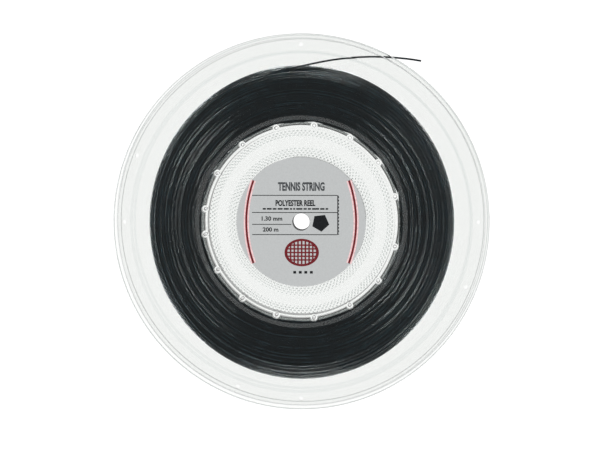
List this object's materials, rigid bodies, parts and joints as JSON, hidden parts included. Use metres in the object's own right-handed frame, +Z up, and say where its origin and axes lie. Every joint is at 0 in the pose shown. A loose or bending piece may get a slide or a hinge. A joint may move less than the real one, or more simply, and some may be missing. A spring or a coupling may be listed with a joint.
{
  "type": "string reel",
  "caption": "Clear two-part reel with a full winding of dark racket string, round labels and a loose string end.",
  "frame": {"origin": "centre of the spindle bore, on the plane where the two mouldings meet", "axes": "+Y along the reel's axis from its front to its rear, +Z up when it stands on its rims, +X to the right seen from the front"},
  "size_m": [0.264, 0.0246, 0.264],
  "materials": {
    "clear_styrene": "clear, polished mould finish",
    "label_stock": "satin silver-grey sticker",
    "label_ink": "dark printing ink",
    "label_red": "dark red printing ink",
    "string": "smooth extruded monofilament"
  },
  "bodies": {
    "root": {"front_half": "clear_styrene", "rear_half": "clear_styrene", "front_label": "label_stock", "rear_label": "label_stock", "string_winding": "string", "string_end": "string"}
  },
  "joints": []
}
